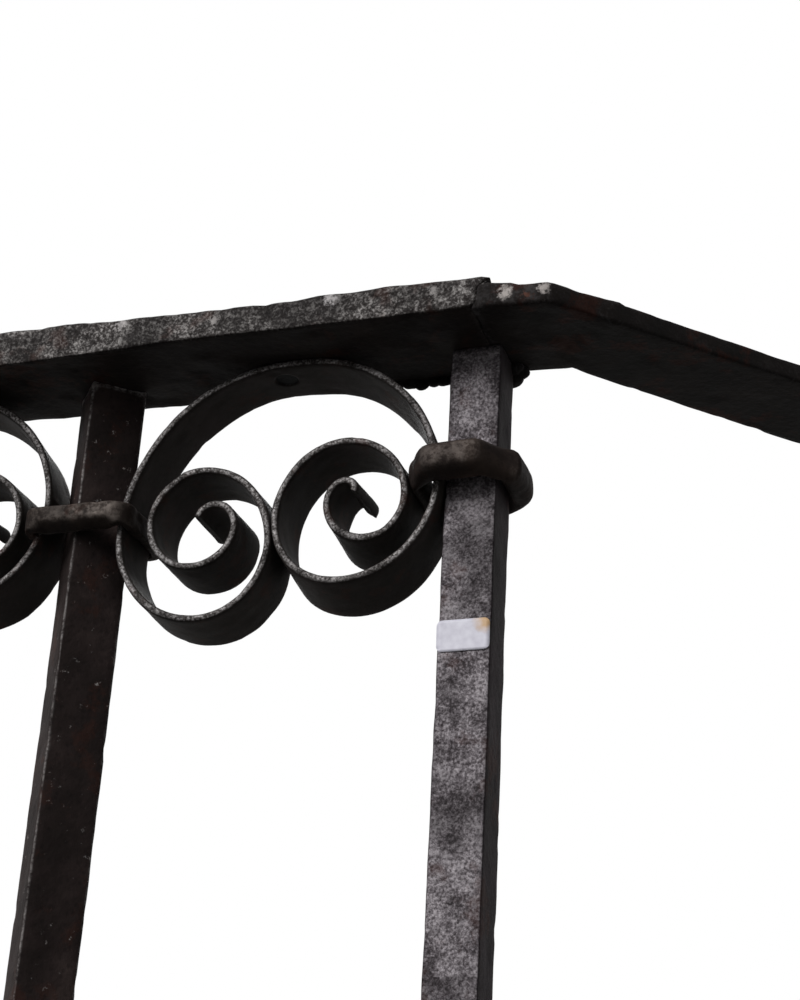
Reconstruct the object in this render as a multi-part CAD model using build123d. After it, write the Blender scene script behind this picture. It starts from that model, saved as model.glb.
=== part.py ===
from build123d import *
from math import cos, radians, sin, sqrt, tan
import os

# A Juliet balcony of forged iron, in millimetres: a straight front of square bars between two flat
# rails, a scroll in every bay under the top rail and over the bottom one, and rail ends canted back
# to the wall, where they are cut off.
# While it is drawn, x runs along the front from its middle, y from the bars' axes to the wall and z
# up from half height. At the end all of it moves to the wall end of the bottom left return.

# The front
bay_count = 6
bay_pitch = 141.4
clear_height = 930.0          # between the two rails

# Square bars: the end posts stand square to the front, the balusters cornerwise to it
bar_size = 18.0
tenon_size = 11.0
tenon_clearance = 0.15        # on each side of a tenon in its hole
tenon_recess = 0.3            # from a filed tenon end to the rail's face

# Flat rails, laid so that most of their width overhangs the street
rail_width = 48.0
rail_thickness = 10.6
rail_back = 12.4              # from the bars' axes to the rail's back edge
rail_end = 10.0               # from an end post's axis to the seam with the return

# Returns to the wall, of thinner bar
return_width = 39.0
return_thickness = 7.0
return_angle = 45.0
return_corner = 31.3          # from an end post's axis to the outer corner
return_corner_radius = 5.0
wall_distance = 150.0         # from the bars' axes to the wall

# Scrolls: one strip on edge in each bay, an arch with a volute on each side
strip_width = 24.0
strip_thickness = 2.6
strip_front = 13.8            # from the bars' axes to the strip's street edge
strip_seat = 0.1              # between the arch and the bars beside it
volute_gap = 0.3              # between the two volutes where they meet
wide_share = 0.523            # of the arch's width, on the side with the lower volute
meeting_share = 0.018         # of the arch's width, from its top to the volutes' meeting line
wide_collar_clearance = 4.1   # from the wide side's volute to the collar inside it
narrow_collar_clearance = 1.4
# Both volutes are quarter turns that tighten. These are the radii, as shares of that side's arch
# radius, of the first and third quarters and of the fifth to the last. The second quarter reaches
# the meeting line, and the fourth comes back to within the clearance of the collar.
wide_turns = (0.568, 0.478, 0.285, 0.247, 0.125, 0.115)
wide_last_turn = 60.0         # degrees of the last one
narrow_turns = (0.562, 0.454, 0.251, 0.268, 0.132, 0.062)
narrow_last_turn = 120.0

# Collars of flat bar around each baluster and the strips beside it
collar_height = 10.5
collar_thickness = 3.5
collar_rise = 2.3             # from where the arches beside it stand upright, on average
collar_side_fit = 0.3         # beside the strips where they lean in most
collar_back_fit = 0.3         # behind the baluster's corner
collar_front_space = 3.4      # in front of the baluster's corner
collar_corner_radius = 3.0

# Looser loops of half-round bar on the end posts
loop_height = 10.0
loop_thickness = 4.6
loop_rise = 9.7               # above where the arch beside it stands upright
loop_side_space = 3.0         # beside the strip
loop_back_fit = 0.3           # around the strip's back corner
loop_front_space = 6.0        # in front of the strip
loop_corner_radius = 11.0
loop_bevel = 2.8              # on the loop's outer edges

half_front = bay_pitch * bay_count / 2
half_height = clear_height / 2
half_diagonal = bar_size / sqrt(2)
rail_front = rail_width - rail_back
seam_x = half_front + rail_end
post_places = (-half_front, half_front)
baluster_places = [i * bay_pitch - half_front for i in range(1, bay_count)]


# Scrolls

def bay_faces(index):
    # where the two bars beside a bay face into it
    left = index * bay_pitch - half_front
    left_reach = bar_size / 2 if index == 0 else half_diagonal
    right_reach = bar_size / 2 if index == bay_count - 1 else half_diagonal
    return left + left_reach, left + bay_pitch - right_reach


def arch_radii(index):
    # centre-line radii of the arch, first on the side with the lower volute
    left, right = bay_faces(index)
    width = right - left - 2 * strip_seat - strip_thickness
    return width * wide_share, width * (1 - wide_share), width * meeting_share


def side_line(radii, last_turn, side, offset):
    # one side of the strip, from the arch's top into the volute; offset is out from the centre line
    edges = []
    point = Vector(0, half_height - strip_thickness / 2 + offset)
    heading = Vector(side, 0)
    for number, radius in enumerate(radii):
        turn = last_turn if number == len(radii) - 1 else 90.0
        arc = JernArc(point, heading, radius + offset, -side * turn)
        edges.append(arc)
        point = arc @ 1
        heading = arc % 1
    return edges


def turn_radii(arch, shares, meeting, collar_side):
    # the arch's own quarter and then the volute's; meeting and collar_side are how far the strip's
    # line stands in from the arch's side where the volute is nearest to each
    first, third = arch * shares[0], arch * shares[1]
    second = meeting - first
    fourth = meeting - third - collar_side
    return [arch, first, second, third, fourth] + [arch * share for share in shares[2:]]


def scroll(index):
    # the lower volute is on the side away from the nearer end post
    wide, narrow, shift = arch_radii(index)
    half_gap = (strip_thickness + volute_gap) / 2
    at_post = index in (0, bay_count - 1)
    narrow_reach = loop_reach() if at_post else collar_reach()
    wide_side = strip_thickness + collar_reach() + wide_collar_clearance
    narrow_side = strip_thickness + narrow_reach + narrow_collar_clearance
    wide_radii = turn_radii(wide, wide_turns, wide - shift - half_gap, wide_side)
    narrow_radii = turn_radii(narrow, narrow_turns, narrow + shift - half_gap, narrow_side)
    half = strip_thickness / 2
    outline = []
    for radii, last_turn, side in ((wide_radii, wide_last_turn, -1), (narrow_radii, narrow_last_turn, 1)):
        outer = side_line(radii, last_turn, side, half)
        inner = side_line(radii, last_turn, side, -half)
        outline += outer + inner + [Line(outer[-1] @ 1, inner[-1] @ 1)]
    strip = extrude(Plane.XZ.offset(strip_front) * make_face(outline), amount=-strip_width)
    if index < bay_count / 2:
        strip = mirror(strip, about=Plane.YZ)
    return Pos(arch_top(index), 0, 0) * strip


def arch_top(index):
    left, right = bay_faces(index)
    reach = strip_seat + strip_thickness / 2 + arch_radii(index)[0]
    return right - reach if index < bay_count / 2 else left + reach


def lean(radius, rise):
    # how far an arch has bent in at a rise above the point where its side stands upright
    return radius - sqrt(radius ** 2 - rise ** 2)


# Bars, rails and returns

def bar(angle):
    tenon_length = rail_thickness - tenon_recess
    shape = Box(bar_size, bar_size, clear_height)
    shape += Box(tenon_size, tenon_size, clear_height + 2 * tenon_length)
    return Rot(0, 0, angle) * shape


def rail():
    # the top rail, with a hole for every tenon
    middle = half_height + rail_thickness / 2
    shape = Pos(0, (rail_back - rail_front) / 2, middle) * Box(2 * seam_x, rail_width, rail_thickness)
    hole_size = tenon_size + 2 * tenon_clearance
    hole = Box(hole_size, hole_size, 2 * rail_thickness)
    for x in post_places:
        shape -= Pos(x, 0, middle) * hole
    for x in baluster_places:
        shape -= Pos(x, 0, middle) * Rot(0, 0, 45) * hole
    return shape


def return_bar():
    # the top right return: on from the rail's end, round the corner and back to the wall
    angle = radians(return_angle)
    corner_x = half_front + return_corner
    inner_x = corner_x - return_width * sin(angle)
    inner_y = return_width * cos(angle) - rail_front
    points = [
        (seam_x, -rail_front),
        (corner_x, -rail_front),
        (corner_x + (wall_distance + rail_front) / tan(angle), wall_distance),
        (inner_x + (wall_distance - inner_y) / tan(angle), wall_distance),
        (inner_x + (rail_back - inner_y) / tan(angle), rail_back),
        (seam_x, rail_back),
    ]
    outline = make_face(Polyline(*points, close=True))
    corner = outline.vertices().sort_by_distance(Vector(*points[1]))[0]
    outline = fillet(corner, return_corner_radius)
    wall_x = (points[2][0] + points[3][0]) / 2
    return Pos(0, 0, half_height) * extrude(outline, amount=return_thickness), wall_x


# Collars

def band(half_width, front, back, thickness, height, inner_radius):
    # a closed band: front and back are the distances from the bar's axis to its inner faces
    depth = front + back
    outer = RectangleRounded(2 * (half_width + thickness), depth + 2 * thickness, inner_radius + thickness)
    inner = RectangleRounded(2 * half_width, depth, inner_radius)
    middle = Pos(0, (back - front) / 2, -height / 2)
    return middle * extrude(outer, amount=height), middle * Pos(0, 0, -1) * extrude(inner, amount=height + 2)


def collar_drop():
    # from the rail to the middle of a baluster collar, set by the arches of the inner bays
    wide, narrow = arch_radii(1)[:2]
    return (wide + narrow + strip_thickness) / 2 - collar_rise


def collar_reach():
    # how far a baluster collar stands in from the strip beside it, with room for the arches' lean
    top_drop = collar_drop() - collar_height / 2
    beside = (arch_radii(0)[0],) + arch_radii(1)[:2]
    steepest = max(lean(radius, radius + strip_thickness / 2 - top_drop) for radius in beside)
    return steepest + collar_side_fit + collar_thickness


def baluster_collar():
    half_width = half_diagonal + strip_seat + strip_thickness + collar_reach() - collar_thickness
    front = max(half_diagonal, strip_front) + collar_front_space
    back = max(half_diagonal, strip_width - strip_front) + collar_back_fit
    outer, hole = band(half_width, front, back, collar_thickness, collar_height, collar_corner_radius)
    return Pos(0, 0, half_height - collar_drop()) * (outer - hole)


def loop_reach():
    return loop_side_space + loop_thickness


def post_loop():
    # it hangs on the strip: the strip's back corner bears in the loop's own bent corner
    arch = arch_radii(0)[1]
    half_width = bar_size / 2 + strip_seat + strip_thickness + loop_side_space
    inner_radius = loop_corner_radius - loop_thickness
    front = max(bar_size / 2, strip_front) + loop_front_space
    spare = loop_side_space - lean(arch, loop_rise + loop_height / 2)
    rise = sqrt((inner_radius - loop_back_fit) ** 2 - (inner_radius - spare) ** 2)
    back = strip_width - strip_front + inner_radius - rise
    outer, hole = band(half_width, front, back, loop_thickness, loop_height, inner_radius)
    rims = outer.edges().group_by(Axis.Z)
    outer = chamfer(rims[0] + rims[-1], loop_bevel)
    drop = arch + strip_thickness / 2 - loop_rise
    return Pos(0, 0, half_height - drop) * (outer - hole)


# The whole balcony: what stands at the top is mirrored to the bottom

pieces = {}


def add_pair(name, shape):
    pieces["top_" + name] = shape
    pieces["bottom_" + name] = mirror(shape, about=Plane.XY)


add_pair("rail", rail())
right_return, wall_x = return_bar()
add_pair("return_right", right_return)
add_pair("return_left", mirror(right_return, about=Plane.YZ))
pieces["end_post_left"] = Pos(-half_front, 0, 0) * bar(0)
pieces["end_post_right"] = Pos(half_front, 0, 0) * bar(0)
for number, x in enumerate(baluster_places, 1):
    pieces[f"baluster_{number}"] = Pos(x, 0, 0) * bar(45)
    add_pair(f"collar_{number}", Pos(x, 0, 0) * baluster_collar())
add_pair("post_loop_left", Pos(-half_front, 0, 0) * post_loop())
add_pair("post_loop_right", Pos(half_front, 0, 0) * post_loop())
for index in range(bay_count):
    add_pair(f"scroll_{index + 1}", scroll(index))

origin = Vector(-wall_x, wall_distance, -half_height - return_thickness / 2)
os.makedirs("parts", exist_ok=True)
for name, shape in pieces.items():
    export_step(Pos(*(-origin)) * shape, f"parts/{name}.step")
print(len(pieces), "pieces; origin at", origin)
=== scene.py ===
from math import hypot, pi, radians, sin, tan

import bmesh
import bpy
from mathutils import Matrix, Vector, noise


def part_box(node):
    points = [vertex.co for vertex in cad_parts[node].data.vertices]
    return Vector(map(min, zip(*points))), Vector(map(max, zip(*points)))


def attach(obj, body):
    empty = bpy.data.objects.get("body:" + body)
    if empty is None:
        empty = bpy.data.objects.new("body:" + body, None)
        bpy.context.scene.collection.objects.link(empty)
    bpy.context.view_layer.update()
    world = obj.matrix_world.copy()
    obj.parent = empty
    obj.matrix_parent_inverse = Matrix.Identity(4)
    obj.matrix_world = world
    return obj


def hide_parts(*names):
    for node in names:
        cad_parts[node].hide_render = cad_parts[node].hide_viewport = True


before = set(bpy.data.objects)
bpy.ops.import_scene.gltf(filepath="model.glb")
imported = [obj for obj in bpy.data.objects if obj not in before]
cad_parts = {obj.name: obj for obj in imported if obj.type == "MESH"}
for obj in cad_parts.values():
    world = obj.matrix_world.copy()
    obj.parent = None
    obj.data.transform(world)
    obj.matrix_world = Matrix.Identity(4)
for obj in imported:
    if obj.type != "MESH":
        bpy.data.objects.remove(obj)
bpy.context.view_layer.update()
mm = 0.001
noise.seed_set(2)    # else its vectors differ from run to run

# A balcony front of forged iron: x runs along it, y from the street to the wall and z up
alongX, alongY, alongZ = Vector((1, 0, 0)), Vector((0, 1, 0)), Vector((0, 0, 1))

# What the frame gives: the bars' axes, the rails' faces and the clear height between them
postLow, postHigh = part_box("end_post_right")
railLow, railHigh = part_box("top_rail")
floorRailLow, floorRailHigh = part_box("bottom_rail")
postSize = postHigh.x - postLow.x
axisY = (postLow.y + postHigh.y) / 2
rightPostX = (postLow.x + postHigh.x) / 2
leftPostLow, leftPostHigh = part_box("end_post_left")
leftPostX = (leftPostLow.x + leftPostHigh.x) / 2
middleX = (leftPostX + rightPostX) / 2
underTop = railLow.z
overBottom = floorRailHigh.z
middleZ = (underTop + overBottom) / 2


# Camera

cameraSettings = {
    "place": (0.17726, -0.60602, -0.34586),  # from the right end post's axis under the top rail
    "yaw": 18.676,
    "pitch": 24.681,
    "roll": 3.309,
    "lensMm": 73.64,
    "frameMm": 36.0,  # along the picture's height
}


def makeCamera():
    data = bpy.data.cameras.new("camera")
    data.sensor_width = cameraSettings["frameMm"]
    data.lens = cameraSettings["lensMm"]
    data.clip_start = 0.01
    camera = bpy.data.objects.new("camera", data)
    bpy.context.scene.collection.objects.link(camera)
    turn = Matrix.Rotation(radians(cameraSettings["yaw"]), 4, "Z")
    tilt = Matrix.Rotation(radians(90 + cameraSettings["pitch"]), 4, "X")
    roll = Matrix.Rotation(radians(cameraSettings["roll"]), 4, "Z")
    place = Vector((rightPostX, axisY, underTop)) + Vector(cameraSettings["place"])
    camera.matrix_world = Matrix.Translation(place) @ turn @ tilt @ roll
    bpy.context.scene.camera = camera


makeCamera()
print("camera placed")


# Materials

def linear(colour):
    # an sRGB hex value as linear light
    parts = [int(colour[i:i + 2], 16) / 255 for i in (0, 2, 4)]
    return [c / 12.92 if c <= 0.04045 else ((c + 0.055) / 1.055) ** 2.4 for c in parts] + [1.0]


def addNode(tree, kind, links=None, stops=None, **settings):
    # one node with its settings, its ramp's colours, its input values and the sockets that feed it
    node = tree.nodes.new(kind)
    for name, value in settings.items():
        setattr(node, name, value)
    while stops and len(node.color_ramp.elements) < len(stops):
        node.color_ramp.elements.new(0.5)
    for element, (place, colour) in zip(node.color_ramp.elements if stops else [], stops or []):
        element.position = place
        element.color = linear(colour)
    for key, source in (links or {}).items():
        if isinstance(source, bpy.types.NodeSocket):
            tree.links.new(source, node.inputs[key])
        else:
            node.inputs[key].default_value = source
    return node


def forgedIron(name, look):
    # Wrought iron, hammered hot and left unpainted: matt black-brown fire scale with pits, grey
    # metal in grains where hands and weather have rubbed it, and thin brown rust in patches. The same
    # paler grey on the edges and on the faces to the street is also painted light, a painted highlight
    material = bpy.data.materials.new(name)
    material.use_nodes = True
    tree = material.node_tree
    shader = tree.nodes["Principled BSDF"]
    places = addNode(tree, "ShaderNodeTexCoord")
    where = places.outputs["Object"]
    broad, mottle, grain, rust, fleck = [
        addNode(tree, "ShaderNodeTexNoise", {
            "Vector": where, "Scale": 1000 / look[size], "Detail": detail, "Roughness": roughness})
        for size, detail, roughness in (
            ("broadMm", 4.0, 0.6), ("mottleMm", 5.0, 0.65), ("grainMm", 3.0, 0.7), ("rustMm", 6.0, 0.7),
            ("fleckMm", 8.0, 0.75))]
    pits = addNode(tree, "ShaderNodeTexVoronoi", {"Vector": where, "Scale": 1000 / look["pitMm"]})
    # grain and mottling together decide where bare metal and the painted highlight come through, and how bright
    # they are
    coarse = addNode(tree, "ShaderNodeMath", {
        0: mottle.outputs["Fac"], 1: look["mottleShare"]}, operation="MULTIPLY")
    mixed = addNode(tree, "ShaderNodeMath", {
        0: grain.outputs["Fac"], 1: 1 - look["mottleShare"], 2: coarse.outputs[0]},
        operation="MULTIPLY_ADD")
    scaleColour = addNode(tree, "ShaderNodeValToRGB", {0: broad.outputs["Fac"]}, stops=look["scaleColours"])
    wornAndLitColour = addNode(tree, "ShaderNodeValToRGB", {0: mixed.outputs[0]}, stops=look["wornAndLitColours"])
    # rubbed where the surface stands out, and on the faces to the street and, less, to the wall. On the
    # edges and the faces to the street this paler colour is also painted light, a painted highlight
    geometry = addNode(tree, "ShaderNodeNewGeometry")
    edge = addNode(tree, "ShaderNodeMapRange", {
        0: geometry.outputs["Pointiness"], 1: look["edgeLow"], 2: look["edgeHigh"],
        3: 0.0, 4: look["edgeWearAndHighlight"]})
    facing = addNode(tree, "ShaderNodeSeparateXYZ", {0: places.outputs["Normal"]})
    slanted, squarely = look["facing"]
    street = addNode(tree, "ShaderNodeMapRange", {
        0: facing.outputs["Y"], 1: -slanted, 2: -squarely, 3: 0.0, 4: look["faceWearAndLight"]})
    wall = addNode(tree, "ShaderNodeMapRange", {
        0: facing.outputs["Y"], 1: slanted, 2: squarely, 3: 0.0, 4: look["faceWearAndLight"] * look["wallShare"]})
    sides = addNode(tree, "ShaderNodeMath", {0: street.outputs[0], 1: wall.outputs[0]}, operation="MAXIMUM")
    wornAndLit = addNode(tree, "ShaderNodeMath", {0: sides.outputs[0], 1: edge.outputs[0]}, operation="MAXIMUM")
    # the wear and the painted highlight take hold in patches, grain by grain
    patch = addNode(tree, "ShaderNodeMapRange", {
        0: broad.outputs["Fac"], 1: look["patchLow"], 2: look["patchHigh"], 3: look["patchLeast"], 4: 1.0})
    spread = addNode(tree, "ShaderNodeMapRange", {
        0: mixed.outputs[0], 1: look["grainLow"], 2: look["grainHigh"], 3: 0.0, 4: 1.0})
    wornAndLitHere = wornAndLit
    for share in (spread, patch):
        wornAndLitHere = addNode(tree, "ShaderNodeMath", {
            0: wornAndLitHere.outputs[0], 1: share.outputs[0]}, operation="MULTIPLY")
    # the paler colour: bare metal, and also a painted highlight on edges and street faces
    bare = addNode(tree, "ShaderNodeMix", {
        "Factor": wornAndLitHere.outputs[0], 6: scaleColour.outputs[0], 7: wornAndLitColour.outputs[0]}, data_type="RGBA")
    rustHere = addNode(tree, "ShaderNodeMapRange", {
        0: rust.outputs["Fac"], 1: look["rustLow"], 2: look["rustLow"] + look["rustSoft"],
        3: 0.0, 4: look["rustAmount"]})
    rusted = addNode(tree, "ShaderNodeMix", {
        "Factor": rustHere.outputs[0], 6: bare.outputs[2], 7: linear(look["rustColour"])}, data_type="RGBA")
    fleckMix = addNode(tree, "ShaderNodeMath", {
        0: street.outputs[0], 1: look["streetFlecks"], 2: fleck.outputs["Fac"]}, operation="MULTIPLY_ADD")
    fleckHere = addNode(tree, "ShaderNodeMapRange", {
        0: fleckMix.outputs[0], 1: look["fleckLow"], 2: look["fleckLow"] + look["fleckSoft"],
        3: 0.0, 4: look["fleckAmount"]})
    flecked = addNode(tree, "ShaderNodeMix", {
        "Factor": fleckHere.outputs[0], 6: rusted.outputs[2], 7: linear(look["fleckColour"])}, data_type="RGBA")
    # single patches of old paint, scale or rust: place, size in mm and colour. Noise, which is half
    # on average, makes their edges ragged and moves them
    ragged = where
    for pattern, reachMm in zip((fleck, grain), look["raggedMm"]):
        moved = addNode(tree, "ShaderNodeVectorMath", {
            0: pattern.outputs["Color"], 1: (reachMm * mm,) * 3, 2: ragged}, operation="MULTIPLY_ADD")
        ragged = moved.outputs[0]
    spotted = flecked.outputs[2]
    for place, sizeMm, colour in look["spots"]:
        middle = place + Vector((sum(look["raggedMm"]) / 2 * mm,) * 3)
        away = addNode(tree, "ShaderNodeVectorMath", {0: ragged, 1: middle}, operation="DISTANCE")
        here = addNode(tree, "ShaderNodeMapRange", {
            0: away.outputs["Value"], 1: sizeMm * look["spotCore"] * mm, 2: sizeMm / 2 * mm,
            3: look["spotCover"], 4: 0.0})
        spotted = addNode(tree, "ShaderNodeMix", {
            "Factor": here.outputs[0], 6: spotted, 7: linear(colour)}, data_type="RGBA").outputs[2]
    # pits stay dark
    hollow = addNode(tree, "ShaderNodeMapRange", {
        0: pits.outputs["Distance"], 1: look["pitCore"], 2: look["pitReach"], 3: look["pitDark"], 4: 0.0})
    pitted = addNode(tree, "ShaderNodeMix", {
        "Factor": hollow.outputs[0], 6: spotted, 7: linear(look["pitColour"])}, data_type="RGBA")
    tree.links.new(pitted.outputs[2], shader.inputs["Base Color"])
    gloss = addNode(tree, "ShaderNodeMapRange", {
        0: wornAndLitHere.outputs[0], 1: 0.0, 2: 1.0, 3: look["roughScale"], 4: look["roughWorn"]})
    tree.links.new(gloss.outputs[0], shader.inputs["Roughness"])
    metal = addNode(tree, "ShaderNodeMapRange", {
        0: wornAndLitHere.outputs[0], 1: look["metalFrom"], 2: 1.0, 3: 0.0, 4: look["metalWorn"]})
    tree.links.new(metal.outputs[0], shader.inputs["Metallic"])
    shader.inputs["Specular IOR Level"].default_value = look["specular"]
    pitBump = addNode(tree, "ShaderNodeBump", {
        "Strength": look["pitStrength"], "Distance": look["pitDepthMm"] * mm,
        "Height": pits.outputs["Distance"]})
    grainBump = addNode(tree, "ShaderNodeBump", {
        "Strength": look["grainStrength"], "Distance": look["grainDepthMm"] * mm,
        "Height": grain.outputs["Fac"], "Normal": pitBump.outputs[0]})
    tree.links.new(grainBump.outputs[0], shader.inputs["Normal"])
    return material


ironLook = {
    # the patterns' sizes, and the mottling's share against the grain's
    "broadMm": 24.0, "mottleMm": 6.0, "grainMm": 1.2, "rustMm": 16.0, "fleckMm": 9.0, "pitMm": 3.0,
    "mottleShare": 0.45,
    "scaleColours": [(0.35, "141111"), (0.52, "1c1817"), (0.70, "292321")],
    "wornAndLitColours": [(0.40, "2e2b2b"), (0.50, "535051"), (0.62, "878486")],
    # wear on faces, from slanted to square to the street or the wall, and on edges; on the edges and
    # the street faces it is also a painted highlight
    "faceWearAndLight": 0.0, "wallShare": 0.7, "facing": (0.6, 0.92),
    "edgeWearAndHighlight": 0.8, "edgeLow": 0.515, "edgeHigh": 0.57,
    "patchLow": 0.38, "patchHigh": 0.58, "patchLeast": 0.25,
    "grainLow": 0.40, "grainHigh": 0.54,
    "rustLow": 0.56, "rustSoft": 0.08, "rustAmount": 0.35, "rustColour": "3a2119",
    "fleckLow": 0.70, "fleckSoft": 0.05, "fleckAmount": 0.6, "fleckColour": "a9a6a4",
    "streetFlecks": 0.0,    # how much more there are on the street face
    "spots": [], "spotCore": 0.2, "spotCover": 0.9, "raggedMm": (8.0, 6.0),
    "pitCore": 0.12, "pitReach": 0.34, "pitDark": 0.35, "pitColour": "0d0b0b",
    "pitStrength": 0.5, "pitDepthMm": 0.3, "grainStrength": 0.7, "grainDepthMm": 0.3,
    "roughScale": 0.7, "roughWorn": 0.5, "metalFrom": 0.3, "metalWorn": 0.3, "specular": 0.05,
}


def onFront(alongMm, upMm):
    # a place on the top rail's street face, from the right end post's axis and the rail's underside
    return Vector((rightPostX + alongMm * mm, railLow.y, underTop + upMm * mm))


# Posts: pitted by rust all over, their rubbed faces a mottled, nearly even grey, which on the street face is
# also painted light
postIron = forgedIron("pitted wrought iron, end posts", {
    **ironLook, "faceWearAndLight": 1.0, "edgeWearAndHighlight": 0.3, "patchLeast": 0.6,
    "scaleColours": [(0.35, "181415"), (0.52, "231e20"), (0.70, "322b2e")],
    "wornAndLitColours": [(0.40, "3d393b"), (0.50, "5b5659"), (0.62, "8c878a")],
    "grainMm": 0.9, "mottleMm": 9.0, "grainLow": 0.27, "grainHigh": 0.50, "mottleShare": 0.42,
    "pitDark": 0.4})
# Rails: the hammer has left the faces grainy, grey on the high spots and black between them; that grey
# on the street face and the edges is also painted light
railIron = forgedIron("hammered wrought iron, rails", {
    **ironLook, "faceWearAndLight": 0.95, "edgeWearAndHighlight": 0.5, "patchLeast": 0.45,
    "wornAndLitColours": [(0.40, "2e2b2a"), (0.50, "484544"), (0.62, "83807e")],
    "grainMm": 1.0, "grainLow": 0.34, "grainHigh": 0.56, "mottleShare": 0.35,
    "fleckLow": 0.72, "streetFlecks": 0.08,
    "spots": [(onFront(-45.2, 9.7), 5.5, "b2aeae"), (onFront(-124.2, 8.8), 5.5, "9a9695"),
              (onFront(-88, 7.5), 5.0, "8f8b89"), (onFront(-8, 8), 4.5, "8f8b89")]})
# Returns: brown rust and pale old spots by the corner over scale painted nearly black, darker than the
# rails' as painted shade on faces turned from the light
returnShadedIron = forgedIron("rusty wrought iron, returns, painted shade", {
    **ironLook, "rustLow": 0.55, "rustAmount": 0.4, "rustColour": "3b2019",
    "scaleColours": [(0.35, "0c0b0a"), (0.52, "120f0e"), (0.70, "1c1816")],
    "faceWearAndLight": 0.12, "edgeWearAndHighlight": 0.2, "fleckLow": 0.72, "streetFlecks": 0.1,
    "spots": [(onFront(17.4, 5.0), 6.0, "b5aeaa"), (onFront(30.5, 5.4), 5.5, "b5aeaa"),
              (onFront(36.8, 3.4), 5.0, "7d5040"), (onFront(25, 3.0), 4.0, "57392f")]})
# Balusters: dark and brownish, with chipped corners; their pale corner lines are also a painted highlight
barIron = forgedIron("forged wrought iron, balusters", {
    **ironLook, "scaleColours": [(0.35, "1d1817"), (0.52, "292221"), (0.70, "3b3230")],
    "wornAndLitColours": [(0.40, "5c5756"), (0.50, "8a8584"), (0.62, "b9b5b3")],
    "edgeWearAndHighlight": 1.0, "edgeLow": 0.52, "edgeHigh": 0.555, "fleckMm": 4.0, "fleckLow": 0.63,
    "grainLow": 0.36, "grainHigh": 0.52, "patchLeast": 0.45})
# Strip: smooth from rolling and dark, its narrow edges rubbed to a bright grain, which on the street edge is
# also a painted highlight
stripIron = forgedIron("rolled iron strip, scrolls", {
    **ironLook, "faceWearAndLight": 1.0, "edgeWearAndHighlight": 0.1, "patchLeast": 0.75,
    "scaleColours": [(0.35, "1b1817"), (0.52, "262220"), (0.70, "373130")],
    "wornAndLitColours": [(0.40, "373534"), (0.50, "5a5756"), (0.62, "8e8b8b")],
    "pitStrength": 0.1, "pitDark": 0.15, "grainStrength": 0.3, "grainMm": 0.8, "mottleShare": 0.3,
    "grainLow": 0.34, "grainHigh": 0.52})
# Rivets: the blackest of all, near-black as painted shade in their sunk holes
rivetShadeIron = forgedIron("near-black painted shade, rivets", {
    **ironLook, "scaleColours": [(0.35, "030303"), (0.52, "050505"), (0.70, "090808")],
    "edgeWearAndHighlight": 0.0, "rustAmount": 0.1, "fleckAmount": 0.1})
# Collars: dull brown-grey, rubbed where they stand out, the paler colour there also a painted highlight on
# their edges and street faces
collarIron = forgedIron("forged wrought iron, collars", {
    **ironLook, "faceWearAndLight": 0.75, "edgeWearAndHighlight": 0.6, "edgeLow": 0.52, "edgeHigh": 0.58,
    "scaleColours": [(0.35, "1a1615"), (0.52, "26201d"), (0.70, "3a302b")],
    "wornAndLitColours": [(0.40, "3f3834"), (0.50, "5a524d"), (0.62, "7d746e")],
    "grainMm": 1.8, "mottleMm": 7.0, "mottleShare": 0.6})
# Loops: browner and softer, as iron that was nearly molten, their street faces painted lighter by wear and also
# as a painted highlight
loopIron = forgedIron("forged half-round iron, post loops", {
    **ironLook, "faceWearAndLight": 0.5, "edgeWearAndHighlight": 0.4, "edgeLow": 0.52, "edgeHigh": 0.58,
    "scaleColours": [(0.35, "1a1615"), (0.52, "26201e"), (0.70, "3a312c")],
    "wornAndLitColours": [(0.40, "3a332f"), (0.50, "564d48"), (0.62, "857b75")],
    "grainMm": 1.6, "mottleMm": 8.0, "mottleShare": 0.6})
print("materials made")


# Shaping

def ramp(x, start, end):
    # from 0 at the start to 1 at the end
    return min(max((x - start) / (end - start), 0), 1)


def between(points, x):
    # the height at x of a line through (x, height) points
    for (here, low), (there, high) in zip(points, points[1:]):
        if here <= x < there:
            return low + (high - low) * (x - here) / (there - here)
    return 0.0


def barSection(bm, width, thickness, corner, step, segments=3):
    # a bar's section about the origin, width along x and thickness along y, as a ring of edges
    bmesh.ops.create_grid(bm, x_segments=1, y_segments=1, size=0.5)
    bmesh.ops.scale(bm, vec=(width, thickness, 1), verts=bm.verts)
    bmesh.ops.bevel(bm, geom=bm.verts[:], offset=corner, segments=segments, profile=0.5,
                    affect="VERTICES", material=-1)
    bmesh.ops.delete(bm, geom=bm.faces[:], context="FACES_ONLY")
    for edge in [e for e in bm.edges if e.calc_length() > 1.5 * step]:
        bmesh.ops.subdivide_edges(bm, edges=[edge], cuts=int(edge.calc_length() / step))
    return bm.edges[:]


def layOut(bm, columns, place):
    # turns the section's own x, y and z to three directions and puts it in its place
    matrix = Matrix.Translation(place) @ Matrix(columns).transposed().to_4x4()
    bmesh.ops.transform(bm, matrix=matrix, verts=bm.verts)


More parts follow.
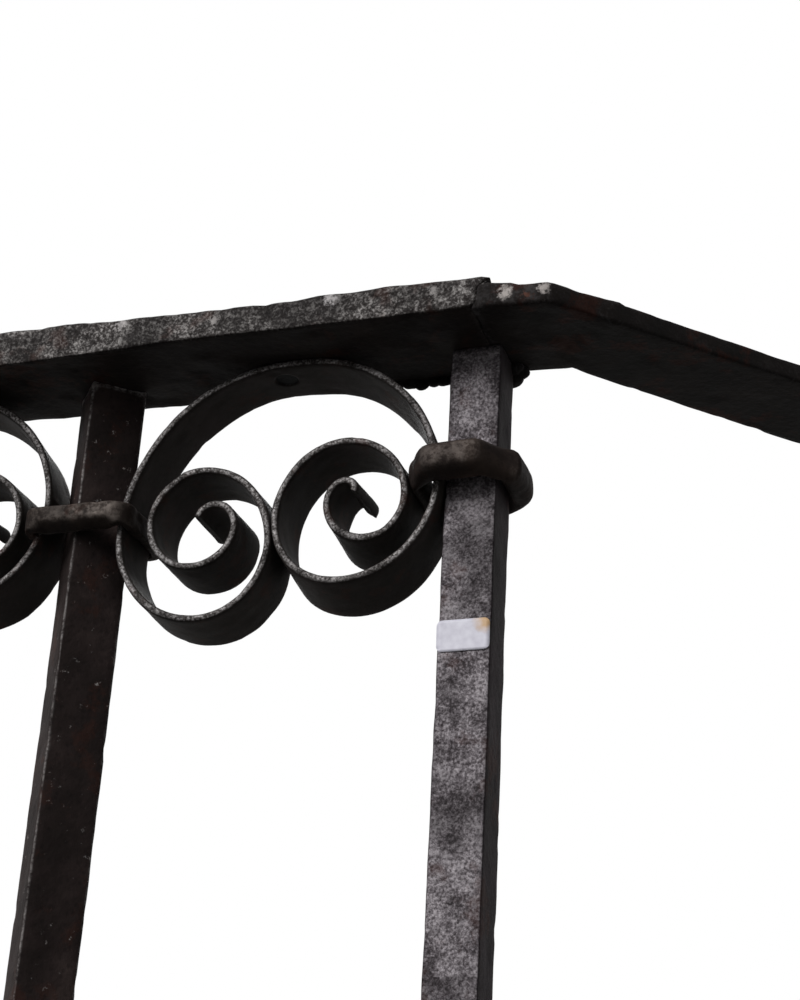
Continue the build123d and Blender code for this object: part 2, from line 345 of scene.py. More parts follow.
def drawOut(bm, ring, place, heading, axis, moves, step):
    # draws a section out along straight runs, (length, 0), and turns, (radius, degrees about the axis)
    for size, degrees in moves:
        angle = radians(degrees)
        if degrees:
            centre = place + axis.cross(heading) * (size if degrees > 0 else -size)
            steps = max(int(abs(angle) * size / step), 3)
            made = bmesh.ops.spin(bm, geom=ring, cent=centre, axis=axis, angle=angle, steps=steps)
            turn = Matrix.Rotation(angle, 3, axis)
            place = centre + turn @ (place - centre)
            heading = turn @ heading
        else:
            made = bmesh.ops.spin(bm, geom=ring, cent=place, axis=axis, dvec=heading * size, steps=1)
            place = place + heading * size
        ring = [part for part in made["geom_last"] if isinstance(part, bmesh.types.BMEdge)]
        if not degrees and size > step:
            ends = dict.fromkeys(v for e in ring for v in e.verts)    # kept in order, as a set isn't
            lengthwise = [e for v in ends for e in v.link_edges if e.other_vert(v) not in ends]
            bmesh.ops.subdivide_edges(bm, edges=lengthwise, cuts=int(size / step), use_grid_fill=True)
    return ring


def closeEnd(bm, ring):
    bmesh.ops.contextual_create(bm, geom=ring)


# A hammer mark has a finer one on it, at these shares of its size and depth, and a nick begins where
# its noise passes a level
hammerMarks = {"finerSize": 0.35, "finerDepth": 0.3, "nickFrom": 0.22}


def hammer(bm, seed, marks, verts=None):
    # bend moves the whole bar, dent is the hammer's mark and nick eats into the surface, each given
    # as its size across and its depth, in mm
    bmesh.ops.recalc_face_normals(bm, faces=bm.faces)
    bm.normal_update()
    shift = Vector((seed * 37.1, seed * 19.7, seed * 53.3))    # another place in the noise for each seed
    (bendMm, bend), (dentMm, dent), (nickMm, nick) = marks["bend"], marks["dent"], marks["nick"]
    finerMm, finer = dentMm * hammerMarks["finerSize"], dent * hammerMarks["finerDepth"]
    for vertex in verts or bm.verts:
        place = vertex.co / mm + shift
        rough = noise.noise(place / dentMm) * dent + noise.noise(place / finerMm) * finer
        rough -= max(noise.noise(place / nickMm) - hammerMarks["nickFrom"], 0) * nick
        vertex.co += (noise.noise_vector(place / bendMm) * bend + vertex.normal * rough) * mm


def meshPiece(name, bm, material):
    bmesh.ops.recalc_face_normals(bm, faces=bm.faces)
    data = bpy.data.meshes.new(name)
    bm.to_mesh(data)
    bm.free()
    piece = bpy.data.objects.new(name, data)
    bpy.context.scene.collection.objects.link(piece)
    data.materials.append(material)
    for face in data.polygons:
        face.use_smooth = len(face.vertices) < 12    # all but the sawn ends
    return piece


def standFor(piece, node):
    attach(piece, "root")
    if node:
        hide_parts(node)


# Square bars, with the tenons that show on the rails

barShape = {
    "cornerMm": 0.8, "stepMm": 2.4, "tenonMm": 11.0, "tenonProudMm": 0.25, "tenonStepMm": 100.0,
    "post": {"bend": (150, 0.35), "dent": (17, 0.35), "nick": (7, 0.9)},
    "baluster": {"bend": (170, 0.6), "dent": (22, 0.30), "nick": (8, 0.7)},
    "balusterTurns": (44, 42, 45, 41, 38.5),  # degrees about their own axes, forged by eye
    "balusterWider": (1.02, 1.05, 1.0, 1.04, 1.11),  # one pair of faces against the other
}


def squareBar(name, node, x, turn, wider, material, seed, marks):
    bm = bmesh.new()
    step = barShape["stepMm"] * mm
    ring = barSection(bm, postSize * wider, postSize, barShape["cornerMm"] * mm, step)
    across = Matrix.Rotation(radians(turn), 3, "Z")
    start = Vector((x, axisY, overBottom))
    layOut(bm, (across @ alongX, across @ alongY, alongZ), start)
    closeEnd(bm, ring)
    closeEnd(bm, drawOut(bm, ring, start, alongZ, alongX, [(underTop - overBottom, 0)], step))
    hammer(bm, seed, marks)
    # one tenon through the bar's whole length, out of both rails
    tenon = bmesh.new()
    size, proud = barShape["tenonMm"] * mm, barShape["tenonProudMm"] * mm
    ring = barSection(tenon, size, size, barShape["cornerMm"] * mm, step)
    start = Vector((x, axisY, floorRailLow.z - proud))
    layOut(tenon, (across @ alongX, across @ alongY, alongZ), start)
    closeEnd(tenon, ring)
    run = (railHigh.z - floorRailLow.z + 2 * proud, 0)
    closeEnd(tenon, drawOut(tenon, ring, start, alongZ, alongX, [run], barShape["tenonStepMm"] * mm))
    joined = bpy.data.meshes.new("tenon")
    tenon.to_mesh(joined)
    tenon.free()
    bm.from_mesh(joined)
    bpy.data.meshes.remove(joined)
    standFor(meshPiece(name, bm, material), node)


squareBar("postRight", "end_post_right", rightPostX, 0, 1.0, postIron, 1, barShape["post"])
squareBar("postLeft", "end_post_left", leftPostX, 0, 1.0, postIron, 2, barShape["post"])
for number in range(1, 6):
    low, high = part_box(f"baluster_{number}")
    squareBar(f"baluster{number}", f"baluster_{number}", (low.x + high.x) / 2,
              barShape["balusterTurns"][number - 1], barShape["balusterWider"][number - 1], barIron,
              10 + number, barShape["baluster"])
print("bars made")


# Rails and returns

railShape = {
    "cornerMm": 0.9, "stepMm": 2.4,
    "marks": {"bend": (120, 0.5), "dent": (15, 0.7), "nick": (8, 1.8)},
    # how uneven the street edge is: by the place along the rail, out from the nearer post's axis, how
    # far the corner on top and the one under it stand out, in mm
    "outerLip": ((-430, 0.6), (-250, 0.2), (-170, 1.0), (-140, 1.2), (-110, 0.3), (-58, 0.5),
                 (-50, 1.5), (14, 1.4)),
    "innerLip": ((-430, 0.4), (-250, 1.2), (-170, 2.6), (-140, 1.7), (-110, 0.3), (-25, 0.2),
                 (0, -0.7), (14, -1)),
    "lipReachMm": 12.0,
    "seamSlantMm": 4.8,     # how far the seam with each return runs in from the rail's outer face
    "seamWave": 0.25,       # and how much it waves, as a share of that
    "seamReachMm": 14.0,    # over which the bars' ends are drawn over to it
    "seamGrooveMm": 0.35, "seamRoundMm": (8.0, 2.0),   # its depth, and over what it rounds, across and up
}


def bendLips(bm, low, high):
    # the hammer has spread the street edge up and down
    outward = 1 if low.z > middleZ else -1
    reach = railShape["lipReachMm"] * mm
    for vertex in bm.verts:
        away = max(leftPostX - vertex.co.x, vertex.co.x - rightPostX) / mm
        share = ramp(vertex.co.y, low.y + reach, low.y)
        level = (vertex.co.z - (low.z + high.z) / 2) / (high.z - low.z) * outward + 0.5
        up, down = between(railShape["outerLip"], away), between(railShape["innerLip"], away)
        vertex.co.z += outward * share * (level * up - (1 - level) * down) * mm


def slantSeam(bm, seamX, side, low, high):
    # draws the ends on both sides of a seam over to its slant and rounds them into a groove
    outward = 1 if low.z > middleZ else -1
    reach, slant = railShape["seamReachMm"] * mm, railShape["seamSlantMm"] * mm
    groove = railShape["seamGrooveMm"] * mm
    roundY, roundZ = [size * mm for size in railShape["seamRoundMm"]]
    centre = Vector((seamX, (low.y + railHigh.y) / 2, (low.z + high.z) / 2))
    for vertex in bm.verts:
        away = abs(vertex.co.x - seamX)
        if away < reach:
            depth = (railHigh.z - vertex.co.z) / (railHigh.z - railLow.z)
            if outward < 0:
                depth = (vertex.co.z - floorRailLow.z) / (railHigh.z - railLow.z)
            if away < 0.1 * mm:    # the end itself
                out = vertex.co - centre
                vertex.co.y -= groove * min(max(out.y / roundY, -1), 1)
                vertex.co.z -= groove * min(max(out.z / roundZ, -1), 1)
            wave = railShape["seamWave"] * sin(depth * 2 * pi)
            vertex.co.x -= side * slant * (depth + wave) * (1 - away / reach)


returnShape = {
    "widthMm": 39.0, "angle": 45.0, "cornerMm": 1.2, "stepMm": 2.6,
    # how much thicker it is than its bar, by the place along the front from the post's axis, in mm
    "tops": ((10, 2.4), (18, 1.6), (28, 0.3), (38, 0.6), (50, 1.0), (70, 0.6), (110, 0.3), (300, 0)),
    "widerMm": 5.2,         # how much wider than its bar it is at the wall
    "innerCornerMm": (5.0, 0.9),    # how far its inner corner is set on along the front, and back
    "marks": {"bend": (90, 0.3), "dent": (24, 0.35), "nick": (9, 0.8)},
    "cornerMarks": {"bend": (40, 0.3), "dent": (11, 0.9), "nick": (8, 1.6)},
    "cornerReachMm": 42.0,
    "cornerSoftMm": 5.0, "cornerSmooth": 3,     # over what its outer corner is rounded, and how often
}


def makeRail(name, node, seed):
    low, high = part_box(node)
    bm = bmesh.new()
    step = railShape["stepMm"] * mm
    ring = barSection(bm, high.y - low.y, high.z - low.z, railShape["cornerMm"] * mm, step)
    start = Vector((low.x, (low.y + high.y) / 2, (low.z + high.z) / 2))
    layOut(bm, (alongY, alongZ, alongX), start)
    closeEnd(bm, ring)
    closeEnd(bm, drawOut(bm, ring, start, alongX, alongZ, [(high.x - low.x, 0)], step))
    bendLips(bm, low, high)
    slantSeam(bm, high.x, 1, low, high)
    slantSeam(bm, low.x, -1, low, high)
    hammer(bm, seed, railShape["marks"])
    standFor(meshPiece(name, bm, railIron), node)


def makeReturn(name, node, side, seed):
    # side is 1 on the right and -1 on the left; it is shaped for the right and mirrored
    low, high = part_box(node)
    slope = radians(returnShape["angle"])
    wallX = high.x if side > 0 else 2 * middleX - low.x
    seamX = low.x if side > 0 else 2 * middleX - high.x
    innerWallX = wallX - returnShape["widthMm"] * mm / sin(slope)
    setOn = Vector(returnShape["innerCornerMm"]) * mm
    # its outer and inner edge at the seam, at the corner and at the wall
    stations = [
        (Vector((seamX, low.y)), Vector((seamX, railHigh.y))),
        (Vector((wallX - (high.y - low.y) / tan(slope), low.y)),
         Vector((innerWallX - (high.y - railHigh.y) / tan(slope), railHigh.y)) + setOn),
        (Vector((wallX, high.y)), Vector((innerWallX - returnShape["widerMm"] * mm, high.y))),
    ]
    bm = bmesh.new()
    step = returnShape["stepMm"] * mm
    ring = barSection(bm, railHigh.y - low.y, high.z - low.z, returnShape["cornerMm"] * mm, step)
    layOut(bm, (alongY, alongZ, alongX), Vector((seamX, (low.y + railHigh.y) / 2, (low.z + high.z) / 2)))
    closeEnd(bm, ring)
    before = stations[0]
    for outer, inner in stations[1:]:
        made = bmesh.ops.extrude_edge_only(bm, edges=ring)["geom"]
        verts = dict.fromkeys(part for part in made if isinstance(part, bmesh.types.BMVert))
        ring = list(dict.fromkeys(e for v in verts for e in v.link_edges if e.other_vert(v) in verts))
        for vertex in verts:
            share = (vertex.co.y - before[0].y) / (before[1].y - before[0].y)
            vertex.co.xy = outer.lerp(inner, share)
        lengthwise = [e for v in verts for e in v.link_edges if e.other_vert(v) not in verts]
        cuts = int((outer - before[0]).length / step)
        bmesh.ops.subdivide_edges(bm, edges=lengthwise, cuts=cuts, use_grid_fill=True)
        before = (outer, inner)
    closeEnd(bm, ring)
    corner = stations[1][0]
    soft = returnShape["cornerSoftMm"] * mm
    for _ in range(returnShape["cornerSmooth"]):
        near = [v for v in bm.verts if (v.co.xy - corner).length < soft]
        bmesh.ops.smooth_vert(bm, verts=near, factor=0.5, use_axis_x=True, use_axis_y=True)
    outward = 1 if low.z > middleZ else -1
    face = high.z if outward > 0 else low.z
    for vertex in bm.verts:
        level = 1 - abs(vertex.co.z - face) / (high.z - low.z)
        away = (vertex.co.x - rightPostX) / mm + 0.1    # a hair on, so that the seam counts too
        vertex.co.z += outward * level * between(returnShape["tops"], away) * mm
    slantSeam(bm, seamX, 1, low, high)
    hammer(bm, seed, returnShape["marks"])
    reach = returnShape["cornerReachMm"] * mm
    near = [v for v in bm.verts if abs(v.co.x - corner.x) + abs(v.co.y - corner.y) < reach]
    hammer(bm, seed + 5, returnShape["cornerMarks"], near)
    if side < 0:
        bmesh.ops.scale(bm, vec=(-1, 1, 1), verts=bm.verts)
        bmesh.ops.translate(bm, vec=(2 * middleX, 0, 0), verts=bm.verts)
    standFor(meshPiece(name, bm, returnShadedIron), node)


makeRail("topRail", "top_rail", 21)
makeRail("bottomRail", "bottom_rail", 22)
for row in ("top", "bottom"):
    makeReturn(f"{row}ReturnRight", f"{row}_return_right", 1, 23)
    makeReturn(f"{row}ReturnLeft", f"{row}_return_left", -1, 24)
print("rails and returns made")


# Scrolls

scrollShape = {
    "widthMm": 24.0, "thicknessMm": 2.6, "cornerMm": 0.9,
    "stepMm": 1.8, "acrossMm": 1.6,     # the mesh along the strip and across it
    "bayMm": 116.87,        # what the scroll is drawn for: an end bay, between the strip's centre lines
    "wideTopMm": 60.9,      # from the bay's wide side to the arch's level top, and how long that is
    "levelMm": 5.0,
    # radii from the arch into the volutes, an eighth of a turn each, in mm, and the last one's degrees
    "wideArcs": (58.5, 62.0, 36.0, 29.2, 24.0, 26.5, 31.3, 24.5, 18.4, 17.4, 18.4, 16.7, 15.3, 12.7,
                 9.4, 7.4, 6.3, 5.3),
    "wideLast": 34.0,
    "narrowArcs": (51.5, 49.1, 35.8, 32.0, 24.2, 24.7, 27.8, 23.0, 22.0, 21.7, 15.7, 12.8, 14.3, 13.9,
                   8.6, 5.3, 3.8, 2.9, 2.2),
    "narrowLast": 30.0,
    "marks": {"bend": (45, 0.35), "dent": (12, 0.22), "nick": (5, 0.5)},
    # how far the narrow volute's torn end runs on, from its street edge (0) to its other edge (1)
    "tornEnd": ((-0.1, 0), (0.3, 0.3), (0.45, 1.0), (0.6, 0.2), (0.8, 1.4), (0.95, 1.1), (1.1, 0.3)),
    # how forging has left it uneven, in mm: places along the bay or down from the arch's top where that
    # begins and is full, and how far the strip is moved. The volutes lie within a circle in the arch.
    "volutesMm": 45.0, "volutesUp": (-80, -60, 0.7),
    # its wall edge only: at the arch's shoulders, both bellies, the belly and the eye on the narrow side
    "shouldersDownTo": -45.0, "narrowShoulder": (12, 42, 2.1), "wideShoulder": (4, -16, 1.7),
    "wideShoulderEnds": (-62, -42), "bellies": (-50, -70, 0.9), "narrowBelly": (-52, -80, 3.2),
    "narrowSide": -2.0, "eyeMm": 7.0, "eyeMoved": (0.75, 0, 1.305),
    # the rivet's hole, its depth and its place from the wide end of the arch's level top
    "rivetMm": 8.8, "rivetSinkMm": 1.1, "rivetAlongMm": 5.2, "rivetBackMm": -2.2,
    # the rivet's head against its hole, the rise of its rim in it and its rings inward, (width, rise)
    "rivetFit": 0.98, "rivetUpMm": 0.8, "rivetRings": ((0.4, 0.15), (1.0, 0.1), (1.0, 0.05)),
    "rivetSegments": 28,
}


def drawScroll():
    # the top right scroll, about the point where its wide side's arcs begin, with its rivet hole
    shape = scrollShape
    bm = bmesh.new()
    thick = shape["thicknessMm"] * mm
    step = shape["stepMm"] * mm
    ring = barSection(bm, shape["widthMm"] * mm, thick, shape["cornerMm"] * mm, shape["acrossMm"] * mm, 2)
    start = Vector((0, 0, 0))
    layOut(bm, (alongY, alongZ, alongX), start)
    wideMoves = [(radius * mm, -45) for radius in shape["wideArcs"][:-1]]
    wideMoves += [(shape["wideArcs"][-1] * mm, -shape["wideLast"])]
    narrowMoves = [(shape["levelMm"] * mm, 0)] + [(radius * mm, 45) for radius in shape["narrowArcs"][:-1]]
    narrowMoves += [(shape["narrowArcs"][-1] * mm, shape["narrowLast"])]
    wideEnd = drawOut(bm, ring, start, -alongX, alongY, wideMoves, step)
    narrowEnd = drawOut(bm, ring, start, alongX, alongY, narrowMoves, step)
    heading = Matrix.Rotation(radians(sum(degrees for _, degrees in narrowMoves)), 3, alongY) @ alongX
    torn = list(dict.fromkeys(v for e in narrowEnd for v in e.verts))
    for vertex in torn:
        back = vertex.co.y / (shape["widthMm"] * mm) + 0.5
        vertex.co += heading * between(shape["tornEnd"], back) * mm
    closeEnd(bm, wideEnd)
    closeEnd(bm, narrowEnd)
    arch = Vector((shape["levelMm"], -shape["narrowArcs"][0]))
    eye = heading.cross(alongY) * -shape["narrowArcs"][-1] + torn[0].co / mm
    for vertex in bm.verts:
        back = vertex.co.y / (shape["widthMm"] * mm) + 0.5
        x, z = vertex.co.x / mm, vertex.co.z / mm
        fromArch = hypot(x - arch.x, z - arch.y)
        moved = Vector((0, 0, 0))
        if z > shape["shouldersDownTo"] and fromArch > shape["volutesMm"]:
            start, full, farthest = shape["narrowShoulder"]
            moved += Vector((-1, 0, -1)) * ramp(x, start, full) * farthest * back
            start, full, farthest = shape["wideShoulder"]
            moved.z += ramp(x, start, full) * ramp(x, *shape["wideShoulderEnds"]) * farthest * back
        elif fromArch < shape["volutesMm"]:
            start, full, farthest = shape["volutesUp"]
            moved.z += ramp(z, start, full) * farthest
        start, full, farthest = shape["bellies"]
        moved.x -= ramp(z, start, full) * farthest * back
        if hypot(x - eye.x, z - eye.z) < shape["eyeMm"]:
            moved += Vector(shape["eyeMoved"]) * back
        if x > shape["narrowSide"]:
            start, full, farthest = shape["narrowBelly"]
            moved.z -= ramp(z, start, full) * farthest * back
        vertex.co += moved * mm
    # a hole sunk for the rivet to the rail, its wall within the last 0.15 of its radius
    reach = shape["rivetMm"] * mm / 2
    hole = Vector((-shape["rivetAlongMm"] * mm, shape["rivetBackMm"] * mm))
    around = [f for f in bm.faces if (f.calc_center_median().xy - hole).length < 1.6 * reach
              and -2 * thick < f.calc_center_median().z < 0]
    edges = list(dict.fromkeys(e for f in around for e in f.edges))
    bmesh.ops.subdivide_edges(bm, edges=edges, cuts=3, use_grid_fill=True)
    for vertex in bm.verts:
        away = (vertex.co.xy - hole).length
        if -2 * thick < vertex.co.z < 0 and away < reach:
            vertex.co.z += shape["rivetSinkMm"] * mm * ramp(away, reach, 0.85 * reach)
    return bm


def drawRivet():
    # the rivet's nearly flat head in its hole
    shape = scrollShape
    bm = bmesh.new()
    bmesh.ops.create_circle(bm, segments=shape["rivetSegments"], cap_ends=True,
                            radius=shape["rivetMm"] * mm / 2 * shape["rivetFit"])
    for thickness, depth in shape["rivetRings"]:
        inner = [f for f in bm.faces if len(f.verts) > 4]
        bmesh.ops.inset_region(bm, faces=inner, thickness=thickness * mm, depth=depth * mm)
    bmesh.ops.rotate(bm, matrix=Matrix.Rotation(pi, 3, "X"), verts=bm.verts)
    rim = shape["rivetUpMm"] - shape["thicknessMm"] / 2
    place = Vector((-shape["rivetAlongMm"], shape["rivetBackMm"], rim)) * mm
    bmesh.ops.translate(bm, vec=place, verts=bm.verts)
    return bm


def makeScroll(row, number, seed, scroll, rivet):
    # the drawn scroll fitted to its bay, and mirrored for the left half and for the bottom row
    shape = scrollShape
    node = f"{row}_scroll_{number}"
    low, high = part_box(node)
    thick = shape["thicknessMm"] * mm
    size = (high.x - low.x - thick) / (shape["bayMm"] * mm)
    side = -1 if number <= 3 else 1
    down = 1 if row == "top" else -1
    sideX = low.x if side > 0 else high.x
    start = Vector((sideX + side * (thick / 2 + shape["wideTopMm"] * mm * size), (low.y + high.y) / 2, 0))
    start.z = underTop - thick / 2 if down > 0 else overBottom + thick / 2
    strip, head = scroll.copy(), rivet.copy()
    for bm in (strip, head):
        bmesh.ops.scale(bm, vec=(side * size, 1, down * size), verts=bm.verts)
        bmesh.ops.translate(bm, vec=start, verts=bm.verts)
    hammer(strip, seed, shape["marks"])
    standFor(meshPiece(f"{row}Scroll{number}", strip, stripIron), node)
    standFor(meshPiece(f"{row}Rivet{number}", head, rivetShadeIron), None)


scroll, rivet = drawScroll(), drawRivet()
for rowNumber, row in enumerate(("top", "bottom")):
    for number in range(1, 7):
        makeScroll(row, number, 31 + number + 6 * rowNumber, scroll, rivet)
scroll.free()
rivet.free()
print("scrolls made")


# Collars on the balusters and loops on the end posts

collarShape = {
    # thickness, inner radius of the bent corners, rounding of the edges and the hammer's work
    "collar": {"thickMm": 3.5, "cornerMm": 3.0, "edgeMm": 0.8,
               "marks": {"bend": (30, 0.4), "dent": (9, 0.4), "nick": (5, 0.9)}},
    "loop": {"thickMm": 4.6, "cornerMm": 6.4, "edgeMm": 2.2,
             "marks": {"bend": (30, 0.5), "dent": (12, 0.35), "nick": (6, 0.4)}},
    "stepMm": 1.2,
    "collarLowerMm": 2.2,   # how much further from the rail a collar's edge on that side lies
    "frontFacetMm": 1.5, "frontFacetSlope": 1.6,    # where a collar's front is hammered back, and how far
    "frontThickerMm": 3.0,  # how much thicker a collar is at the front
    "frontFaces": (0.6, 1.2),   # as far in as this, in thicknesses, lie the front's outer and inner face
    "loopFrontMm": 8.0,     # and a loop
    "loopSideMm": 3.4,      # and a loop on the side away from the scroll
    "loopShiftMm": 1.9,     # how far a loop hangs over to the scroll
    "loopTilt": 1.6,        # and how many degrees it hangs down there
    "loopWider": 1.03, "loopTaller": 1.22,  # against what smoothing takes away
    "loopSmooth": 5,        # how often it is smoothed, as if nearly melted
}


def thickenCollar(bm, low, high, thick, turn, middleOfFront, facetEdge):
    # a thicker front, hammered back along its edge away from the rail
    slope, thicker = collarShape["frontFacetSlope"], collarShape["frontThickerMm"] * mm
    outerFace, innerFace = [low.y + share * thick for share in collarShape["frontFaces"]]
    for vertex in bm.verts:
        fromSide = min(abs(high.x - vertex.co.x), abs(vertex.co.x - low.x))
        along = ramp(fromSide, thick, thick + turn)
        if vertex.co.y < outerFace:
            past = (vertex.co.z - middleOfFront) * facetEdge - collarShape["frontFacetMm"] * mm
            vertex.co.y += slope * max(past, 0) * along
        elif vertex.co.y < innerFace:
            vertex.co.y += thicker * along


def shapeLoop(bm, low, high, thick, reach, facetEdge):
    # a fat front and outer side, hung over to the scroll and smoothed as if nearly melted
    middle = (low + high) / 2
    away = 1 if middle.x > middleX else -1
    face = high.x if away > 0 else low.x
    inSide, inFront = collarShape["loopSideMm"] * mm, collarShape["loopFrontMm"] * mm
    for vertex in bm.verts:
        fromSide, fromFront = abs(face - vertex.co.x), vertex.co.y - low.y
        vertex.co.x -= away * inSide * ramp(fromSide, 0, thick) * ramp(fromSide, reach, thick)
        vertex.co.y += inFront * ramp(fromFront, 0, thick) * ramp(fromFront, reach, thick)
        vertex.co.x -= away * collarShape["loopShiftMm"] * mm
    growth = Vector((collarShape["loopWider"], collarShape["loopWider"], collarShape["loopTaller"]))
    bmesh.ops.scale(bm, vec=growth, space=Matrix.Translation(-middle), verts=bm.verts)
    tilt = Matrix.Rotation(radians(collarShape["loopTilt"] * away * facetEdge), 3, "Y")
    bmesh.ops.rotate(bm, cent=middle, matrix=tilt, verts=bm.verts)
    for _ in range(collarShape["loopSmooth"]):
        bmesh.ops.smooth_vert(bm, verts=bm.verts, factor=0.5, use_axis_x=True, use_axis_y=True,
                              use_axis_z=True)


def makeBand(name, node, kind, seed):
    # a closed band drawn round its four sides
    shape = collarShape[kind]
    low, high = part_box(node)
    thick = shape["thickMm"] * mm
    turn = shape["cornerMm"] * mm + thick / 2
    bm = bmesh.new()
    step = collarShape["stepMm"] * mm
    facetEdge = -1 if low.z > middleZ else 1
    lower = collarShape["collarLowerMm"] * mm if kind == "collar" else 0
    ring = barSection(bm, thick, high.z - low.z - lower, shape["edgeMm"] * mm, step)
    start = Vector((low.x + thick / 2 + turn, low.y + thick / 2, (low.z + high.z + facetEdge * lower) / 2))
    layOut(bm, (alongY, alongZ, alongX), start)
    longRun = (high.x - low.x - thick - 2 * turn, 0)
    shortRun = (high.y - low.y - thick - 2 * turn, 0)
    drawOut(bm, ring, start, alongX, alongZ, [longRun, (turn, 90), shortRun, (turn, 90)] * 2, step)
    bmesh.ops.remove_doubles(bm, verts=bm.verts, dist=0.01 * mm)
    if kind == "collar":
        thickenCollar(bm, low, high, thick, turn, start.z, facetEdge)
    else:
        shapeLoop(bm, low, high, thick, 2 * turn, facetEdge)
    hammer(bm, seed, shape["marks"])
    standFor(meshPiece(name, bm, collarIron if kind == "collar" else loopIron), node)


for rowNumber, row in enumerate(("top", "bottom")):
    for number in range(1, 6):
        makeBand(f"{row}Collar{number}", f"{row}_collar_{number}", "collar", 51 + number + 5 * rowNumber)
    for side in ("left", "right"):
        makeBand(f"{row}Loop{side.title()}", f"{row}_post_loop_{side}", "loop",
                 62 + 2 * rowNumber + (side == "right"))
print("collars and loops made")


# Weld beads at the end posts, run down from the rails' back edge

weldShape = {
    # along the front and back from the post's axis, up from the top rail's underside, and the size, in mm
    "blobs": ((-34, 11.0, 0.2, 4.6), (-30, 11.5, -0.8, 4.6), (-26, 12, -1.2, 4.4), (-21.5, 11.5, -0.6, 4.4),
              (-17, 11.5, -0.9, 4.6), (-12.5, 11, -0.1, 4.4), (5.0, 9.5, -2.2, 8.5), (8.0, 10.5, -3.4, 7.0),
              (10.5, 10.0, -1.2, 6.5), (8.0, 8.0, -0.6, 8.0)),
    "squash": (1.25, 0.9, 0.8),
    "marks": {"bend": (14, 0.4), "dent": (4.5, 0.5), "nick": (4, 0.5)},
}


def makeWeld(row, side, postX, seed):
    outward = 1 if row == "top" else -1
    bm = bmesh.new()
    for alongMm, backMm, upMm, sizeMm in weldShape["blobs"]:
        place = Vector((postX + side * alongMm * mm, axisY + backMm * mm, 0))
        place.z = underTop + upMm * mm if outward > 0 else overBottom - upMm * mm
        made = bmesh.ops.create_icosphere(bm, subdivisions=3, radius=sizeMm * mm / 2)
        bmesh.ops.scale(bm, vec=weldShape["squash"], verts=made["verts"])
        bmesh.ops.translate(bm, vec=place, verts=made["verts"])
    hammer(bm, seed, weldShape["marks"])
    standFor(meshPiece(f"{row}Weld{'Right' if side > 0 else 'Left'}", bm, returnShadedIron), None)


for row, seed in (("top", 71), ("bottom", 73)):
    makeWeld(row, 1, rightPostX, seed)
    makeWeld(row, -1, leftPostX, seed + 1)
print("weld beads made")


# The price label, left bare

labelShape = {
    "wideMm": 18.0, "highMm": 11.0, "thickMm": 0.2, "cornerMm": 2.0, "tilt": -1.0,
    "alongMm": -0.2, "outMm": 0.35, "downMm": 106.8,    # from the right post's axis, its face and the rail
    "stepMm": 1.5, "cutsEachSide": 5, "waveMm": 9.0, "waveDepthMm": 0.15,
    "paperMm": 2.5, "paperColours": [(0.3, "bcbac6"), (0.7, "d0cfd9")],
    # the stain: its middle in from the top right corner, and how far it is ragged, full and gone
    "stainInMm": (1.5, 1.0), "stainRaggedMm": 4.0, "stainFullMm": 3.0, "stainEndMm": 6.5,
    "stainAmount": 0.75, "stainColour": "b8892f", "roughness": 0.55,
}


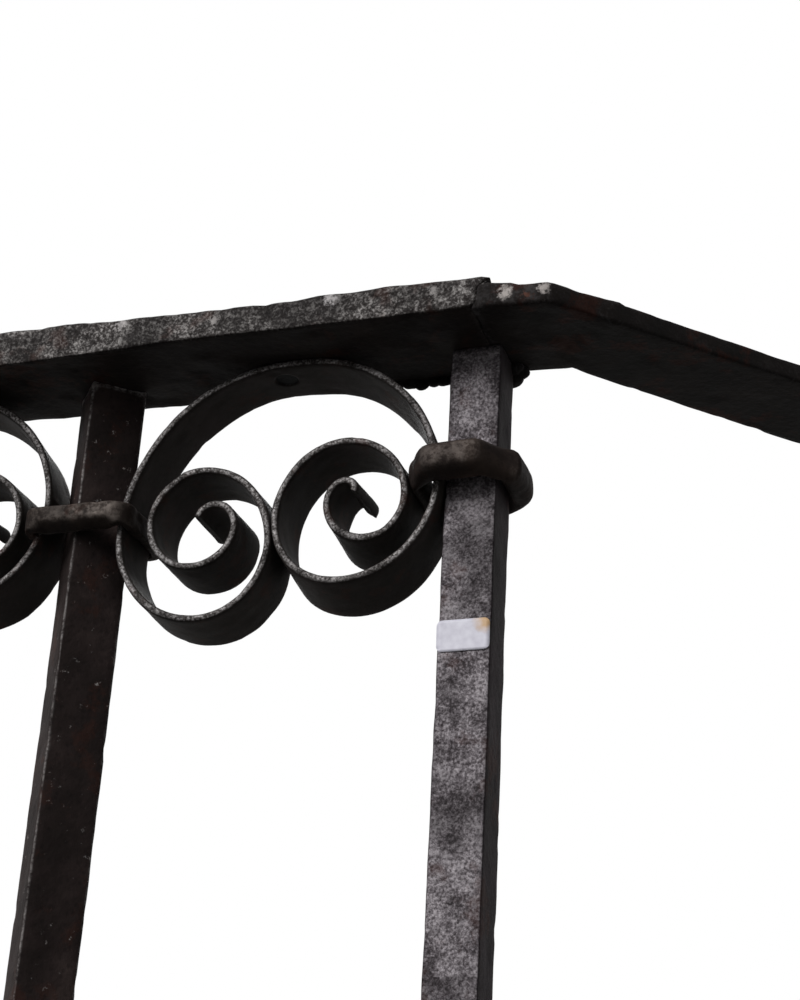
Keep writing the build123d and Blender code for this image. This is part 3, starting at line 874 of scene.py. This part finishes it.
def makeLabel():
    shape = labelShape
    bm = bmesh.new()
    bmesh.ops.create_grid(bm, x_segments=1, y_segments=1, size=0.5)
    bmesh.ops.scale(bm, vec=(shape["wideMm"] * mm, shape["highMm"] * mm, 1), verts=bm.verts)
    bmesh.ops.bevel(bm, geom=bm.verts[:], offset=shape["cornerMm"] * mm, segments=6, profile=0.5,
                    affect="VERTICES", material=-1)
    for number in range(-shape["cutsEachSide"], shape["cutsEachSide"] + 1):
        for across in (alongX, alongY):
            geometry = bm.verts[:] + bm.edges[:] + bm.faces[:]
            cut = across * number * shape["stepMm"] * mm
            bmesh.ops.bisect_plane(bm, geom=geometry, plane_co=cut, plane_no=across)
    bmesh.ops.solidify(bm, geom=bm.faces[:], thickness=shape["thickMm"] * mm)
    bmesh.ops.rotate(bm, matrix=Matrix.Rotation(radians(90), 3, "X"), verts=bm.verts)
    bmesh.ops.rotate(bm, matrix=Matrix.Rotation(radians(shape["tilt"]), 3, "Y"), verts=bm.verts)
    place = Vector((rightPostX, postLow.y, underTop))
    place += Vector((shape["alongMm"], -shape["outMm"], -shape["downMm"])) * mm
    bmesh.ops.translate(bm, vec=place, verts=bm.verts)
    for vertex in bm.verts:
        vertex.co.y += noise.noise(vertex.co / (shape["waveMm"] * mm)) * shape["waveDepthMm"] * mm
    # Paper label with a matt coating: nearly white, slightly lavender, with an orange-brown stain
    # of rust and old glue at one corner
    material = bpy.data.materials.new("white paper label, stained")
    material.use_nodes = True
    tree = material.node_tree
    shader = tree.nodes["Principled BSDF"]
    where = addNode(tree, "ShaderNodeTexCoord").outputs["Object"]
    inX, inZ = shape["stainInMm"]
    corner = place + Vector((shape["wideMm"] / 2 - inX, 0, shape["highMm"] / 2 - inZ)) * mm
    away = addNode(tree, "ShaderNodeVectorMath", {0: where, 1: corner}, operation="DISTANCE")
    blot = addNode(tree, "ShaderNodeTexNoise", {
        "Vector": where, "Scale": 1000 / shape["paperMm"], "Detail": 4.0})
    uneven = addNode(tree, "ShaderNodeMath", {
        0: blot.outputs["Fac"], 1: shape["stainRaggedMm"] * mm, 2: away.outputs["Value"]},
        operation="MULTIPLY_ADD")
    stain = addNode(tree, "ShaderNodeMapRange", {
        0: uneven.outputs[0], 1: shape["stainFullMm"] * mm, 2: shape["stainEndMm"] * mm,
        3: shape["stainAmount"], 4: 0.0})
    paper = addNode(tree, "ShaderNodeValToRGB", {0: blot.outputs["Fac"]}, stops=shape["paperColours"])
    colour = addNode(tree, "ShaderNodeMix", {
        "Factor": stain.outputs[0], 6: paper.outputs[0], 7: linear(shape["stainColour"])}, data_type="RGBA")
    tree.links.new(colour.outputs[2], shader.inputs["Base Color"])
    shader.inputs["Roughness"].default_value = shape["roughness"]
    standFor(meshPiece("label", bm, material), None)


makeLabel()
print("label made")


# Lights, floor and background

# As an overcast day from the street's upper left, with the wall's own light behind: where each lamp
# stands from the middle of the front, how strong it is and how many degrees of the sky it fills
lightSettings = {
    "key": ((-1.5, -2.6, 1.9), 3.2, 38),
    "fill": ((2.4, -2.2, 0.3), 0.22, 25),
    "back": ((-0.9, 2.4, 1.1), 1.3, 25),
    "worldStrength": 0.07,
}


def makeLight(name):
    place, strength, degrees = lightSettings[name]
    data = bpy.data.lights.new(name, "SUN")
    data.energy = strength
    data.angle = radians(degrees)
    light = bpy.data.objects.new(name, data)
    bpy.context.scene.collection.objects.link(light)
    light.location = Vector((middleX, axisY, middleZ)) + Vector(place)
    light.rotation_euler = Vector(place).to_track_quat("Z", "Y").to_euler()


# Painted board, matt: pale where it is looked at, and mid grey in the light it throws back
floorSettings = {
    "halfSize": 6.0, "gapMm": 0.5, "seenColour": "ececea", "litColour": "2e2e2d", "roughness": 0.9,
}


def seenDirectly(tree):
    # 1 for what the camera sees, also in a reflection or through glass, and 0 for light on the object
    rays = addNode(tree, "ShaderNodeLightPath")
    seen = rays.outputs["Is Camera Ray"]
    for kind in ("Is Glossy Ray", "Is Transmission Ray"):
        either = addNode(tree, "ShaderNodeMath", {0: seen, 1: rays.outputs[kind]}, operation="MAXIMUM")
        seen = either.outputs[0]
    return seen


def makeFloor():
    bm = bmesh.new()
    bmesh.ops.create_grid(bm, x_segments=1, y_segments=1, size=floorSettings["halfSize"])
    under = Vector((middleX, axisY, floorRailLow.z - floorSettings["gapMm"] * mm))
    bmesh.ops.translate(bm, vec=under, verts=bm.verts)
    material = bpy.data.materials.new("pale painted board, floor")
    material.use_nodes = True
    tree = material.node_tree
    shader = tree.nodes["Principled BSDF"]
    colour = addNode(tree, "ShaderNodeMix", {
        "Factor": seenDirectly(tree), 6: linear(floorSettings["litColour"]),
        7: linear(floorSettings["seenColour"])}, data_type="RGBA")
    tree.links.new(colour.outputs[2], shader.inputs["Base Color"])
    shader.inputs["Roughness"].default_value = floorSettings["roughness"]
    meshPiece("floor", bm, material)


def makeWorld():
    world = bpy.data.worlds.new("studio")
    bpy.context.scene.world = world
    world.use_nodes = True
    tree = world.node_tree
    tree.nodes.clear()
    strength = addNode(tree, "ShaderNodeMapRange", {
        0: seenDirectly(tree), 1: 0.0, 2: 1.0, 3: lightSettings["worldStrength"], 4: 1.0})
    light = addNode(tree, "ShaderNodeBackground", {
        "Color": linear("ffffff"), "Strength": strength.outputs[0]})
    addNode(tree, "ShaderNodeOutputWorld", {0: light.outputs[0]})


for lamp in ("key", "fill", "back"):
    makeLight(lamp)
makeFloor()
makeWorld()
bpy.context.scene.view_settings.view_transform = "Standard"
print("lights and floor made")
